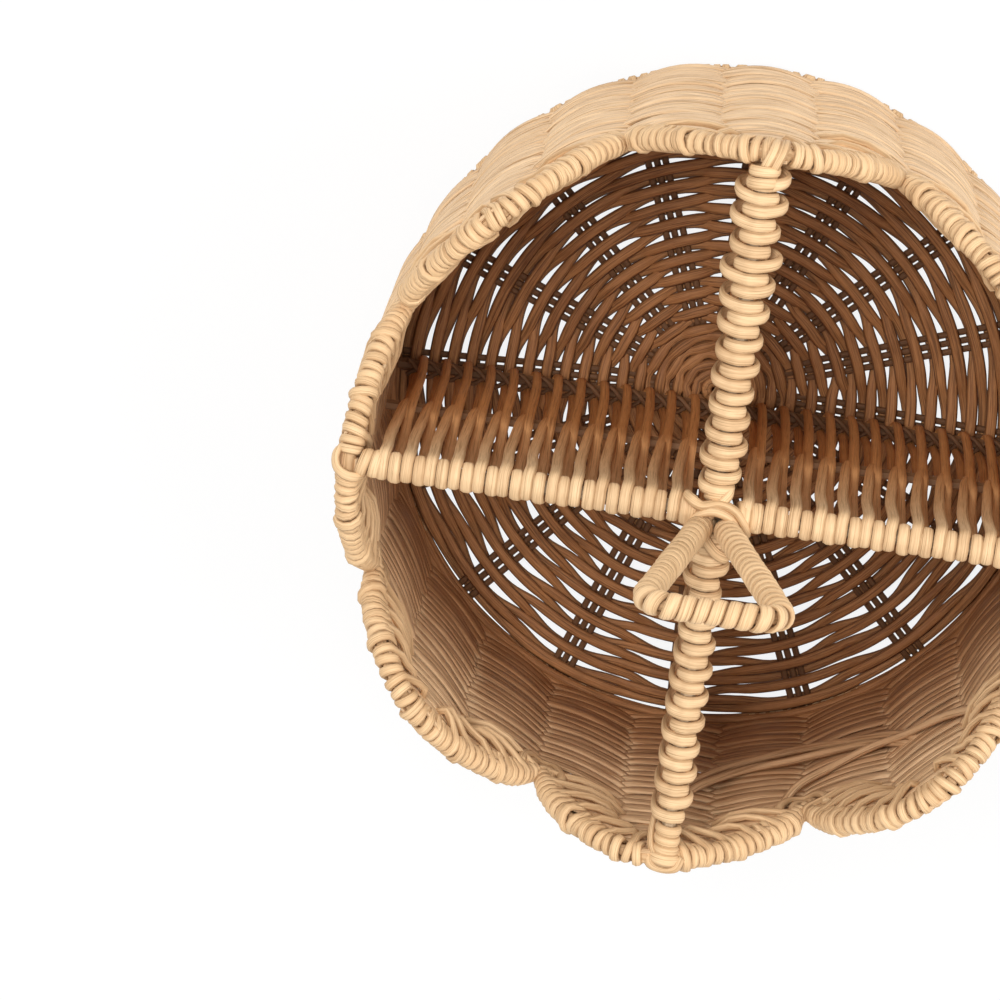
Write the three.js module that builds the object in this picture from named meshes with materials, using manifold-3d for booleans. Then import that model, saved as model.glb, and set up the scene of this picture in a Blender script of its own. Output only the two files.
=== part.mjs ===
// Round rattan caddy: a woven wall with a scalloped rim, an open woven base,
// two crossing dividers that make four compartments, and an upright triangular handle.
// Millimetres, +Z up, origin on the table under the middle of the base.

import * as THREE from 'three';
import { mergeVertices } from 'three/addons/utils/BufferGeometryUtils.js';
import Module from 'manifold-3d';

// Fit
const clearance = 0.3;

// Round plan of the caddy
const rimRadius = 100;
const wallFlare = 1.7;
const lobes = 8;
const crownHeight = 123.6;
const notchHeight = 95.3;

// Wall weave and its stakes
const strandThickness = 1.8;
const weaveSwing = 2.2;
const stakesPerLobe = 3;
const stakeRadius = 1;
const stakeSides = 6;
const wallStepsPerStake = 4;
const wallCourses = 6;
const courseGrooveShare = 0.28;
const channelOvershoot = 3;

// Rim wire and the strand wrapped round it
const rimWireRadius = 1.2;
const rimWrapThickness = 1.8;
const rimWrapShare = 0.92;
const rimSteps = 8;
const rimSides = 8;
const rimWireSides = 6;

// Base border, the ring that the caddy stands on
const borderReach = 1.8;
const borderWidth = 5.1;
const borderHeight = 4.6;
const borderBevel = 0.7;
const ringSegments = 40;

// Woven base and its spokes
const baseLift = 0.9;
const baseThickness = 3.8;
const spokes = 16;
const stripWidth = 2.2;
const stripThickness = 1.4;
const stripsPerSpoke = 3;
const stripGroove = 0.35;
const hubRadius = 18;
const baseGapRows = 3;
const baseGapFirstShare = 0.44;
const baseGapPitchShare = 0.2;
const baseGapWidth = 2.6;
const baseGapLengthShare = 0.6;

// Dividers
const topRodRadius = 2;
const midRodRadius = 1.5;
const footRodRadius = 1.6;
const rodSides = 6;
const midRodHeight = 58;
const barRadius = 3.9;
const panelThickness = 3.4;
const panelSwell = 1.3;
const swellRodRadii = 3;
const barNeckRadii = 1.5;
const slotsPerSide = 5;
const slotWidth = 2.6;
const slotMargin = 2;
const crossingHalf = 16;
const crossingSteps = 8;

// Binding over the crossing of the bars
const knotRadius = 9.5;
const knotDepth = 8;
const knotRise = 5.6;
const knotSegments = 16;
const knotFootShare = 0.7;
const knotShoulderShare = 0.75;
const knotTopShare = 0.35;

// Bindings of the bar ends over the rim
const bindingThickness = 1.4;
const bindingWidth = 8;
const bindingLegs = 2.4;
const bindingCurve = 8;

// Handle
const handleRise = 84.4;
const handleHalfWidth = 18.9;
const handleFootDepth = 4.5;
const handleCornerRadius = 7;
const handleWireRadius = 1.4;
const handleWireSides = 8;
const handleBends = 7;
const wrapSlack = 0.5;
const wrapThickness = 1.5;
const wrapTurns = 24;
const wrapStepsPerTurn = 8;
const wrapGap = 0.9;
const wrapFlatShare = 0.36;

// Sizes that follow from these
const footRadius = rimRadius - wallFlare;
const borderOuter = footRadius + borderReach;
const wireClear = rimWireRadius + clearance;
const rimWrapRadius = wireClear + rimWrapThickness;
const weaveHalf = weaveSwing + strandThickness / 2;
const baseTop = baseLift + baseThickness;
const baseRadius = borderOuter - borderWidth - clearance;
const wallFoot = borderHeight + clearance;
const stakes = lobes * stakesPerLobe;
const barHeight = crownHeight;
const rodEnd = rimRadius - rimWrapRadius - clearance - bindingThickness - clearance;
const footRodHeight = baseTop + clearance + panelThickness / 2 + footRodRadius;
const handleOffset = -(topRodRadius + clearance + handleWireRadius);
const handleFootHalf = topRodRadius + clearance + handleWireRadius;
const handleTop = barHeight + handleRise;
const turn = Math.PI * 2;

// Rattan and wire finishes
const paleStrand = { color: 0xdcbb8d, roughness: 0.72, metalness: 0 };
const wallStrand = { color: 0xd0aa78, roughness: 0.75, metalness: 0 };
const baseStrand = { color: 0x9a6f45, roughness: 0.8, metalness: 0 };
const splint = { color: 0x7c5532, roughness: 0.8, metalness: 0 };
const cane = { color: 0xb98d5c, roughness: 0.7, metalness: 0 };
const wire = { color: 0x8a8a86, roughness: 0.4, metalness: 0.9 };

const caddy = new THREE.Group();
const wasm = await Module();
wasm.setup();

function addPiece(name, geometry, finish) {
  const mesh = new THREE.Mesh(geometry, new THREE.MeshStandardMaterial(finish));
  mesh.name = name;
  caddy.add(mesh);
  return mesh;
}

// A cylindrical place: angle round the caddy, distance from its axis, height
function polar(angle, radius, height) {
  return new THREE.Vector3(radius * Math.cos(angle), radius * Math.sin(angle), height);
}

// Joins rings of points into one skin. The rings run into the first one again, or get flat ends.
function loft(rings, closed) {
  const size = rings[0].length;
  const points = [];
  const faces = [];
  for (const ring of rings) {
    for (const point of ring) {
      points.push(point.x, point.y, point.z);
    }
  }
  const spans = closed ? rings.length : rings.length - 1;
  for (let i = 0; i < spans; i += 1) {
    const here = i * size;
    const next = ((i + 1) % rings.length) * size;
    for (let j = 0; j < size; j += 1) {
      const k = (j + 1) % size;
      faces.push(here + j, here + k, next + k, here + j, next + k, next + j);
    }
  }
  if (!closed) {
    const last = (rings.length - 1) * size;
    for (let j = 1; j < size - 1; j += 1) {
      faces.push(0, j + 1, j, last, last + j, last + j + 1);
    }
  }
  const geometry = new THREE.BufferGeometry();
  geometry.setAttribute('position', new THREE.Float32BufferAttribute(points, 3));
  geometry.setIndex(signedVolume(points, faces) < 0 ? faces.reverse() : faces);
  geometry.computeVertexNormals();
  return geometry;
}

function signedVolume(points, faces) {
  const corner = (index) => new THREE.Vector3().fromArray(points, index * 3);
  let sum = 0;
  for (let i = 0; i < faces.length; i += 3) {
    sum += corner(faces[i]).dot(corner(faces[i + 1]).cross(corner(faces[i + 2])));
  }
  return sum / 6;
}

// A ring of points round a centre, in the plane of two directions
function ringAt(centre, sideways, upwards, radius, sides) {
  const ring = [];
  for (let i = 0; i < sides; i += 1) {
    const angle = ((i + 0.5) / sides) * turn;
    const point = centre.clone();
    point.addScaledVector(sideways, radius * Math.cos(angle));
    point.addScaledVector(upwards, radius * Math.sin(angle));
    ring.push(point);
  }
  return ring;
}

// A straight or bent rod through a list of places, square at its ends
function rodThrough(places, radius, sides, reference) {
  const rings = places.map((place, i) => {
    const before = places[Math.max(i - 1, 0)];
    const after = places[Math.min(i + 1, places.length - 1)];
    const along = after.clone().sub(before).normalize();
    const sideways = new THREE.Vector3().crossVectors(reference, along).normalize();
    const upwards = new THREE.Vector3().crossVectors(along, sideways);
    return ringAt(place, sideways, upwards, radius, sides);
  });
  return loft(rings, false);
}

function toSolid(geometry) {
  const bare = new THREE.BufferGeometry();
  bare.setAttribute('position', geometry.getAttribute('position').clone());
  if (geometry.index) {
    bare.setIndex(geometry.index.clone());
  }
  const merged = mergeVertices(bare, 1e-4);
  const vertProperties = new Float32Array(merged.getAttribute('position').array);
  const triVerts = new Uint32Array(merged.index.array);
  return new wasm.Manifold(new wasm.Mesh({ numProp: 3, vertProperties, triVerts }));
}

function toGeometry(body) {
  const mesh = body.getMesh();
  const geometry = new THREE.BufferGeometry();
  geometry.setAttribute('position', new THREE.Float32BufferAttribute(mesh.vertProperties, 3));
  geometry.setIndex(new THREE.Uint32BufferAttribute(mesh.triVerts, 1));
  geometry.computeVertexNormals();
  return geometry;
}

// A geometry with others cut out of it
function cut(geometry, cutters) {
  let body = toSolid(geometry);
  for (const cutter of cutters) {
    body = body.subtract(toSolid(cutter));
  }
  return toGeometry(body);
}

// Room for a rod with flat sides keeps the clearance at its flats
function roomFor(radius, sides) {
  return radius + clearance / Math.cos(Math.PI / sides);
}

function wallRadius(height) {
  return footRadius + (wallFlare * height) / crownHeight;
}

// How far a divider reaches at a height: to the wall's inner bulge, and no further than the rim
function dividerEnd(height) {
  return Math.min(wallRadius(height) - weaveHalf - clearance, rodEnd);
}

// Height of the rim wire's centre line: one arch a lobe, with a sharp notch between arches
function rimHeight(angle) {
  return notchHeight + (crownHeight - notchHeight) * Math.abs(Math.cos((angle * lobes) / 2));
}

function rimSlope(angle) {
  const swing = (crownHeight - notchHeight) * (lobes / 2);
  return Math.abs((swing * Math.sin((angle * lobes) / 2)) / rimRadius);
}

// The wall stops where the wrapped wire lies on it
function wallTop(angle) {
  return rimHeight(angle) - (rimWrapRadius + clearance) * Math.hypot(1, rimSlope(angle));
}

function stakeAngle(index) {
  return (index / stakes) * turn;
}

function stakeRod(index, radius, extra) {
  const angle = stakeAngle(index);
  const low = wallFoot - extra;
  const high = wallTop(angle) - rimSlope(angle) * stakeRadius + extra;
  const places = [low, high].map((height) => polar(angle, wallRadius(height), height));
  return rodThrough(places, radius, stakeSides, polar(angle, 1, 0));
}

// Section of the wall at an angle: both faces swell at each course and sink in between courses.
// The courses are level at the foot and follow the arches at the top.
function wallRing(angle) {
  const full = weaveSwing * Math.abs(Math.cos((angle * stakes) / 2)) + strandThickness / 2;
  const top = wallTop(angle);
  const outer = [];
  const inner = [];
  for (let i = 0; i <= 2 * wallCourses; i += 1) {
    const height = wallFoot + ((top - wallFoot) * i) / (2 * wallCourses);
    const half = i % 2 === 1 ? full : full * (1 - courseGrooveShare);
    outer.push(polar(angle, wallRadius(height) + half, height));
    inner.push(polar(angle, wallRadius(height) - half, height));
  }
  return [...outer, ...inner.reverse()];
}

function makeWall() {
  const rings = [];
  const count = stakes * wallStepsPerStake;
  for (let i = 0; i < count; i += 1) {
    rings.push(wallRing((i / count) * turn));
  }
  const channels = [];
  const bore = roomFor(stakeRadius, stakeSides);
  for (let i = 0; i < stakes; i += 1) {
    channels.push(stakeRod(i, bore, channelOvershoot));
  }
  addPiece('wall_weave', cut(loft(rings, true), channels), wallStrand);
}

function makeStakes() {
  for (let i = 0; i < stakes; i += 1) {
    const name = `wall_stake_${String(i + 1).padStart(2, '0')}`;
    addPiece(name, stakeRod(i, stakeRadius, 0), cane);
  }
}

function rimPlace(angle) {
  return polar(angle, rimRadius, rimHeight(angle));
}

// A ring round the rim wire, square to its arch, or upright in a notch
function rimRing(angle, radius, sides, inNotch = false) {
  const past = Math.sin((angle * lobes) / 2) * Math.cos((angle * lobes) / 2);
  const rise = inNotch ? 0 : -Math.sign(past) * rimSlope(angle);
  const outward = polar(angle, 1, 0);
  const along = polar(angle + Math.PI / 2, 1, rise).normalize();
  const upwards = new THREE.Vector3().crossVectors(outward, along);
  return ringAt(rimPlace(angle), outward, upwards, radius, sides);
}

function makeRimWire() {
  const rings = [];
  const count = lobes * rimSteps;
  for (let i = 0; i < count; i += 1) {
    const angle = (i / count) * turn;
    const inNotch = (i + rimSteps / 2) % rimSteps === 0;
    rings.push(rimRing(angle, rimWireRadius, rimWireSides, inNotch));
  }
  addPiece('rim_wire', loft(rings, true), wire);
}

// Each arch has its own sleeve of wrapped strand, which stops short of the notches
function makeRimWraps() {
  const half = (Math.PI / lobes) * rimWrapShare;
  const bore = roomFor(rimWireRadius, rimWireSides);
  for (let lobe = 0; lobe < lobes; lobe += 1) {
    const middle = (lobe / lobes) * turn;
    const outside = [];
    const inside = [];
    for (let i = 0; i <= rimSteps; i += 1) {
      const angle = middle + half * ((2 * i) / rimSteps - 1);
      outside.push(rimRing(angle, rimWrapRadius, rimSides));
      inside.push(rimRing(angle, bore, rimSides));
    }
    const skin = loft([...outside, ...inside.reverse()], true);
    addPiece(`rim_wrap_${lobe + 1}`, skin, paleStrand);
  }
}

function ringFrom(profile) {
  const points = profile.map(([radius, height]) => new THREE.Vector2(radius, height));
  points.push(points[0].clone());
  const ring = new THREE.LatheGeometry(points, ringSegments);
  return ring.rotateX(Math.PI / 2);
}

function makeBorder() {
  const inner = borderOuter - borderWidth;
  const profile = [
    [inner + borderBevel, 0],
    [borderOuter - borderBevel, 0],
    [borderOuter, borderBevel],
    [borderOuter, borderHeight - borderBevel],
    [borderOuter - borderBevel, borderHeight],
    [inner + borderBevel, borderHeight],
    [inner, borderHeight - borderBevel],
    [inner, borderBevel],
  ];
  addPiece('base_border', ringFrom(profile), paleStrand);
}

function disc(radius, low, high, segments) {
  const body = new THREE.CylinderGeometry(radius, radius, high - low, segments);
  body.rotateX(Math.PI / 2);
  return body.translate(0, 0, (low + high) / 2);
}

// The strips of a spoke lie side by side, with a groove between two strips on their upper side
function spokeOutline() {
  const half = (stripsPerSpoke * stripWidth) / 2;
  const top = [new THREE.Vector2(-half, stripThickness / 2)];
  for (let i = 1; i < stripsPerSpoke; i += 1) {
    const middle = -half + i * stripWidth;
    top.push(new THREE.Vector2(middle - stripGroove, stripThickness / 2));
    top.push(new THREE.Vector2(middle, stripThickness / 2 - stripGroove));
    top.push(new THREE.Vector2(middle + stripGroove, stripThickness / 2));
  }
  top.push(new THREE.Vector2(half, stripThickness / 2));
  top.push(new THREE.Vector2(half, -stripThickness / 2));
  top.push(new THREE.Vector2(-half, -stripThickness / 2));
  return new THREE.Shape(top);
}

// A spoke of the base lies along +X before it is turned to its place
function spokeBar(shape, index, from, to) {
  const bar = new THREE.ExtrudeGeometry(shape, { depth: to - from, bevelEnabled: false });
  bar.rotateX(Math.PI / 2);
  bar.rotateZ(Math.PI / 2);
  bar.translate(from, 0, baseLift + baseThickness / 2);
  return bar.rotateZ((index / spokes) * turn);
}

function makeBase() {
  const middle = baseLift + baseThickness / 2;
  const halfStrip = stripThickness / 2;
  const inset = hubRadius / 2;
  const hub = disc(hubRadius, middle - halfStrip, middle + halfStrip, spokes * 2);
  let star = toSolid(hub);
  const room = halfStrip + clearance;
  const cutters = [disc(hubRadius + clearance, middle - room, middle + room, spokes * 2)];
  const channelWidth = stripsPerSpoke * stripWidth + 2 * clearance;
  for (let i = 0; i < spokes; i += 1) {
    star = star.add(toSolid(spokeBar(spokeOutline(), i, inset, baseRadius - clearance)));
    const channel = new THREE.BoxGeometry(baseRadius, channelWidth, 2 * room);
    channel.translate(baseRadius / 2 + inset, 0, middle);
    cutters.push(channel.rotateZ((i / spokes) * turn));
    for (let row = 0; row < baseGapRows; row += 1) {
      const radius = baseRadius * (baseGapFirstShare + baseGapPitchShare * (row + (i % 2) / 2));
      const length = (baseGapLengthShare * radius * turn) / spokes;
      const gap = new THREE.BoxGeometry(baseGapWidth, length, baseThickness * 2);
      gap.translate(radius, 0, middle);
      cutters.push(gap.rotateZ((i / spokes) * turn));
    }
  }
  const weave = disc(baseRadius, baseLift, baseTop, ringSegments);
  addPiece('base_weave', cut(weave, cutters), baseStrand);
  addPiece('base_spokes', toGeometry(star), splint);
}

// A rod of a divider. Where they cross, the rods along Y dip under those along X, or arch over
// them at the foot.
function dividerRod(direction, height, end, radius, dip) {
  const places = [];
  const crosswise = new THREE.Vector3(-direction.y, direction.x, 0);
  if (dip === 0) {
    places.push(-end, end);
  } else {
    places.push(-end);
    for (let i = 0; i <= crossingSteps; i += 1) {
      places.push(crossingHalf * ((2 * i) / crossingSteps - 1));
    }
    places.push(end);
  }
  const points = places.map((place) => {
    const near = Math.max(0, 1 - (place / crossingHalf) ** 2);
    const point = direction.clone().multiplyScalar(place);
    point.z = height - dip * near * near;
    return point;
  });
  return rodThrough(points, radius, rodSides, crosswise);
}

// The three rods of a divider, each with the room that it needs in what it passes through
function dividerRods(direction, dips) {
  return [
    ['top', topRodRadius, barHeight, 1],
    ['mid', midRodRadius, midRodHeight, 1],
    ['foot', footRodRadius, footRodHeight, -1],
  ].map(([place, radius, height, way]) => {
    const end = dividerEnd(height - radius);
    const dip = dips ? way * (2 * radius + clearance / Math.cos(Math.PI / rodSides)) : 0;
    return {
      place,
      rod: dividerRod(direction, height, end, radius, dip),
      room: dividerRod(direction, height, end + clearance, roomFor(radius, rodSides), dip),
    };
  });
}

// Section of a woven panel: slim between the rods and swollen where it goes round them
function panelShape() {
  const half = panelThickness / 2;
  const swollen = half + panelSwell;
  const right = [
    [half, baseTop + clearance],
    [swollen, footRodHeight - footRodRadius],
    [swollen, footRodHeight + footRodRadius],
    [half, footRodHeight + swellRodRadii * footRodRadius],
    [half, midRodHeight - swellRodRadii * midRodRadius],
    [swollen, midRodHeight - midRodRadius],
    [swollen, midRodHeight + midRodRadius],
    [half, midRodHeight + swellRodRadii * midRodRadius],
    [half, barHeight - barNeckRadii * barRadius],
  ];
  for (const degrees of [-45, -15, 15, 45, 75]) {
    const angle = THREE.MathUtils.degToRad(degrees);
    right.push([barRadius * Math.cos(angle), barHeight + barRadius * Math.sin(angle)]);
  }
  const left = right.map(([across, height]) => [-across, height]).reverse();
  return new THREE.Shape([...right, ...left].map(([across, height]) => {
    return new THREE.Vector2(across, height);
  }));
}

// A panel runs along X before it is turned: to the wall at its far end, and there too at its
// near end unless it starts beside the other divider
function panel(start, angle) {
  const slab = new THREE.ExtrudeGeometry(panelShape(), { depth: 1, bevelEnabled: false });
  slab.rotateX(Math.PI / 2);
  slab.rotateZ(Math.PI / 2);
  const places = slab.getAttribute('position');
  for (let i = 0; i < places.count; i += 1) {
    const end = dividerEnd(places.getZ(i));
    const near = start === null ? -end : start;
    places.setX(i, places.getX(i) > 0.5 ? end : near);
  }
  return slab.rotateZ(angle);
}

// Upright openings between the strands of one arm of a divider, above and below its middle rod
function panelSlots(angle) {
  const tiers = [
    [footRodHeight + swellRodRadii * footRodRadius, midRodHeight - swellRodRadii * midRodRadius],
    [midRodHeight + swellRodRadii * midRodRadius, barHeight - barNeckRadii * barRadius],
  ];
  const pitch = (dividerEnd(footRodHeight) - knotRadius) / (slotsPerSide + 1);
  const slots = [];
  for (const [low, high] of tiers) {
    for (let i = 1; i <= slotsPerSide; i += 1) {
      const tall = high - low - 2 * slotMargin;
      const slot = new THREE.BoxGeometry(slotWidth, panelThickness * 2, tall);
      slot.translate(knotRadius + i * pitch, 0, (low + high) / 2);
      slots.push(slot.rotateZ(angle));
    }
  }
  return slots;
}

function knotBody(extra) {
  const radius = knotRadius + extra;
  const low = barHeight - knotDepth - extra;
  const high = barHeight + knotRise + extra;
  const profile = [
    [0, low],
    [radius * knotFootShare, low],
    [radius, barHeight - knotDepth / 2],
    [radius, barHeight + knotRise / 3],
    [radius * knotShoulderShare, high - knotRise / 4],
    [radius * knotTopShare, high],
    [0, high],
  ];
  const points = profile.map(([across, height]) => new THREE.Vector2(across, height));
  return new THREE.LatheGeometry(points, knotSegments).rotateX(Math.PI / 2);
}

function makeDividers() {
  const alongX = new THREE.Vector3(1, 0, 0);
  const alongY = new THREE.Vector3(0, 1, 0);
  const rodsX = dividerRods(alongX, false);
  const rodsY = dividerRods(alongY, true);
  const rooms = [...rodsX, ...rodsY].map((entry) => entry.room);
  const knotRoom = knotBody(clearance);
  for (const { place, rod } of rodsX) {
    addPiece(`divider_x_${place}_rod`, rod, cane);
  }
  for (const { place, rod } of rodsY) {
    addPiece(`divider_y_${place}_rod`, rod, cane);
  }
  const start = barRadius + clearance;
  const addPanel = (name, near, angles) => {
    const slots = angles.flatMap(panelSlots);
    addPiece(name, cut(panel(near, angles[0]), [knotRoom, ...rooms, ...slots]), paleStrand);
  };
  addPanel('divider_x_weave', null, [0, Math.PI]);
  addPanel('divider_y_weave_back', start, [Math.PI / 2]);
  addPanel('divider_y_weave_front', start, [-Math.PI / 2]);
  const wireRoom = handleWire(roomFor(handleWireRadius, handleWireSides), clearance);
  const knot = cut(knotBody(0), [rodsX[0].room, rodsY[0].room, wireRoom]);
  addPiece('crossing_binding', knot, paleStrand);
}

// A strap over the rim at each end of the two bars
function makeRimBindings() {
  const inner = rimWrapRadius + clearance;
  const outer = inner + bindingThickness;
  const saddle = new THREE.Shape();
  saddle.moveTo(outer, -bindingLegs);
  saddle.absarc(0, 0, outer, 0, Math.PI, false);
  saddle.lineTo(-outer, -bindingLegs);
  saddle.lineTo(-inner, -bindingLegs);
  saddle.absarc(0, 0, inner, Math.PI, 0, true);
  saddle.lineTo(inner, -bindingLegs);
  const settings = { depth: bindingWidth, bevelEnabled: false, curveSegments: bindingCurve };
  ['right', 'back', 'left', 'front'].forEach((place, index) => {
    const strap = new THREE.ExtrudeGeometry(saddle, settings);
    strap.translate(0, 0, -bindingWidth / 2);
    strap.rotateX(Math.PI / 2);
    strap.translate(rimRadius, 0, crownHeight);
    strap.rotateZ((index / 4) * turn);
    addPiece(`rim_binding_${place}`, strap, paleStrand);
  });
}

// Centre line of the handle: up one leg, across the bar and down the other leg
function handlePath(footDrop) {
  const y = handleOffset;
  const foot = new THREE.Vector3(handleFootHalf, y, barHeight - handleFootDepth - footDrop);
  const corner = new THREE.Vector3(handleHalfWidth, y, handleTop);
  const legLean = Math.atan2(corner.x - foot.x, corner.z - foot.z);
  const reach = handleCornerRadius / Math.tan((Math.PI / 2 - legLean) / 2);
  const centre = new THREE.Vector3(corner.x - reach, y, corner.z - handleCornerRadius);
  const half = [new THREE.Vector3(0, y, handleTop)];
  for (let i = 0; i <= handleBends; i += 1) {
    const angle = Math.PI / 2 - ((Math.PI / 2 + legLean) * i) / handleBends;
    const point = centre.clone();
    point.x += handleCornerRadius * Math.cos(angle);
    point.z += handleCornerRadius * Math.sin(angle);
    half.push(point);
  }
  half.push(foot);
  const mirrored = half.slice(1).map((point) => new THREE.Vector3(-point.x, point.y, point.z));
  return [...mirrored.reverse(), ...half];
}

function handleWire(radius, footDrop) {
  return rodThrough(handlePath(footDrop), radius, handleWireSides, new THREE.Vector3(0, 1, 0));
}

// Measures the handle's centre line and gives the place at a distance along it
function handleWalker() {
  const places = handlePath(0);
  const lengths = [0];
  for (let i = 1; i < places.length; i += 1) {
    lengths.push(lengths[i - 1] + places[i].distanceTo(places[i - 1]));
  }
  const total = lengths[lengths.length - 1];
  const at = (distance) => {
    let i = 1;
    while (i < places.length - 1 && lengths[i] < distance) {
      i += 1;
    }
    const share = (distance - lengths[i - 1]) / (lengths[i] - lengths[i - 1]);
    return places[i - 1].clone().lerp(places[i], share);
  };
  return { total, at };
}

// The wrap on the handle is one strand wound round the wire, from the knot and back to it
function makeHandleWrap() {
  const { total, at } = handleWalker();
  const bare = handleFootDepth + knotRise + clearance;
  const pitch = (total - 2 * bare) / (wrapTurns + 1);
  const coilRadius = handleWireRadius + wrapSlack + wrapThickness / 2;
  const middleOf = (step) => bare + pitch * (0.5 + step / wrapStepsPerTurn);
  const centre = (step) => {
    const distance = middleOf(step);
    const along = at(distance + pitch / 4).sub(at(distance - pitch / 4)).normalize();
    const inwards = new THREE.Vector3().crossVectors(along, new THREE.Vector3(0, 1, 0));
    const angle = (step / wrapStepsPerTurn) * turn;
    const radial = inwards.multiplyScalar(Math.cos(angle));
    radial.y += Math.sin(angle);
    return { radial, point: at(distance).addScaledVector(radial, coilRadius) };
  };
  const rings = [];
  for (let step = 0; step <= wrapTurns * wrapStepsPerTurn; step += 1) {
    const { radial, point } = centre(step);
    const forward = centre(step + 0.5).point.sub(centre(step - 0.5).point).normalize();
    const widthways = new THREE.Vector3().crossVectors(radial, forward).normalize();
    const thickways = new THREE.Vector3().crossVectors(forward, widthways).normalize();
    const room = [step - wrapStepsPerTurn, step + wrapStepsPerTurn].map((other) => {
      return Math.abs(centre(other).point.sub(point).dot(widthways));
    });
    rings.push(strandSection(point, widthways, thickways, Math.min(...room) - wrapGap));
  }
  console.log(`handle wrap: least gap between turns ${leastGap(rings).toFixed(2)} mm`);
  addPiece('handle_wrap', loft(rings, false), paleStrand);
}

// Section of the flat strand, with slanted edges
function strandSection(point, widthways, thickways, width) {
  const corners = [
    [0.5, 0],
    [wrapFlatShare, 0.5],
    [-wrapFlatShare, 0.5],
    [-0.5, 0],
    [-wrapFlatShare, -0.5],
    [wrapFlatShare, -0.5],
  ];
  return corners.map(([across, deep]) => {
    const corner = point.clone().addScaledVector(widthways, across * width);
    return corner.addScaledVector(thickways, deep * wrapThickness);
  });
}

// Least distance between the points of one turn and those of the next
function leastGap(rings) {
  let least = Infinity;
  const apart = Math.ceil(wrapStepsPerTurn / 2);
  for (let i = 0; i < rings.length; i += 1) {
    const last = Math.min(rings.length, i + wrapStepsPerTurn + apart);
    for (let j = i + apart; j < last; j += 1) {
      for (const a of rings[i]) {
        for (const b of rings[j]) {
          least = Math.min(least, a.distanceTo(b));
        }
      }
    }
  }
  return least;
}

makeWall();
makeStakes();
makeRimWire();
makeRimWraps();
makeBorder();
makeBase();
makeDividers();
makeRimBindings();
addPiece('handle_wire', handleWire(handleWireRadius, 0), wire);
makeHandleWrap();

export default caddy;
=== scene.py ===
"""Looks of the woven rattan caddy: every strand of the wall, base, rim, dividers and handle."""

import math
import random

import bpy
import numpy as np
from mathutils import Matrix, Vector


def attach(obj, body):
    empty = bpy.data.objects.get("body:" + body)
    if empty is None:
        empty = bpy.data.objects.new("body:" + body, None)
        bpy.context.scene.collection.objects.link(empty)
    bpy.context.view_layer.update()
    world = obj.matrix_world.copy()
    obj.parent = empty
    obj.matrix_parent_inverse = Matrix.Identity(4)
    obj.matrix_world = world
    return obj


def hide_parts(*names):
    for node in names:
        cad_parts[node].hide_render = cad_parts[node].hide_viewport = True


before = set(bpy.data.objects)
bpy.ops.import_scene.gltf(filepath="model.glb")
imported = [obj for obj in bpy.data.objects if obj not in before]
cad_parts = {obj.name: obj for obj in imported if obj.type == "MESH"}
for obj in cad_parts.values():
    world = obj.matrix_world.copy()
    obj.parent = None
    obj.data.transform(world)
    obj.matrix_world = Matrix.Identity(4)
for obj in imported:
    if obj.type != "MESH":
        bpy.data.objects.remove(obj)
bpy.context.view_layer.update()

# Sizes and places are in millimetres until a mesh is made, and angles in radians
MM = 0.001
TURN = 2 * math.pi

# Wall
RIM_RADIUS = 100.0
WALL_FLARE = 1.7
FOOT_RADIUS = RIM_RADIUS - WALL_FLARE
CROWN_HEIGHT = 123.6
NOTCH_HEIGHT = 95.3
LOBES = 8
STAKES = 24
ROW_FIRST = 6.2
ROW_PITCH = 2.3
FULL_ROWS = 36
TOP_BOW = 8.0
BOW_START = 40.0
WEAVE_SWING = 2.2
SWING_SHARP = 0.75
ROW_TALL = 5.6
ROW_PINCHED = 2.3
ROW_THIN = 1.15
ROW_THICK = 1.8
ROW_SCALE = (0.8, 1.15)
ROW_JITTER = 0.45
ROW_WAVERS_UP = 0.7
ROW_WAVERS_OUT = 0.45
ROW_WAVERS_WIDE = 0.1
FACE_OFFSET = 0.8
WALL_STEPS = 10
MOST_ARCH_ROWS = 19

# Strands that hang slack on the inner face, by degrees round the wall and height
SLACK_ROUTES = (
    ((271.5, 76), (275.2, 69.7), (282.4, 57.5), (290.0, 54.6), (297.5, 55.5), (305.5, 63.0), (312, 72)),
    ((270.5, 70), (275.1, 63.3), (280.5, 53.0), (290.0, 46.0), (299.6, 50.6), (309.7, 65.4), (314, 74)),
    ((289.0, 81), (292.3, 76.8), (299.5, 68.5), (305.5, 66.5), (312.6, 71.9), (320.9, 82), (329, 97)),
)
SLACK_WIDE = 3.4
SLACK_THICK = 2.4
SLACK_PROUD = 4.2
SLACK_TUCKED = 1.2

# One place on the inner face where the rows are drawn apart
PARTING_AT = math.radians(289.3)
PARTING_WIDE = 0.05
PARTING_HEIGHT = 68.9
PARTING_TALL = 5.0
PARTING_PULL = 3.2

# Rim, whose arches lean a little and sink in at the notches
WIRE_RADIUS = 1.2
RIM_LINING = 3.1
WRAP_THICK = 1.9
WRAP_PITCH = 2.55
NOTCH_BARE = 1.4
NOTCH_DIP = 4.5
NOTCH_PULL = 1.6
NOTCH_REACH = 0.12
NOTCH_CROWDING = 0.85
CROWDED_SHARE = 0.16
NEAR_NOTCH = 0.16
ARCH_LEAN = (0.0, 0.0, 0.04, 0.0, -0.06, 0.15, 0.15, 0.02)
BARE_CROWN = ((-2.4, 2.4), (-4.9, 0.6), (-2.4, 2.4), (-4.0, 3.6))
WRAP_RING = 1.7
WRAP_RING_MORE = 0.75
LOOSE_RING = 0.75
LOOSE_LEAN = 0.9
TAIL_REACH = 0.6
LONG_TAIL_REACH = 3.0
LONG_TAIL_MORE = 14.0
TAIL_PROUD = 0.25
LONG_TAIL_PROUD = 1.6
TAIL_THICK = 0.7 * WRAP_THICK
LONG_TAIL_THICK = 1.1 * WRAP_THICK
NOTCH_LOOPS = ((3.4, 3.4), (6.4, 6.6))
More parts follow.
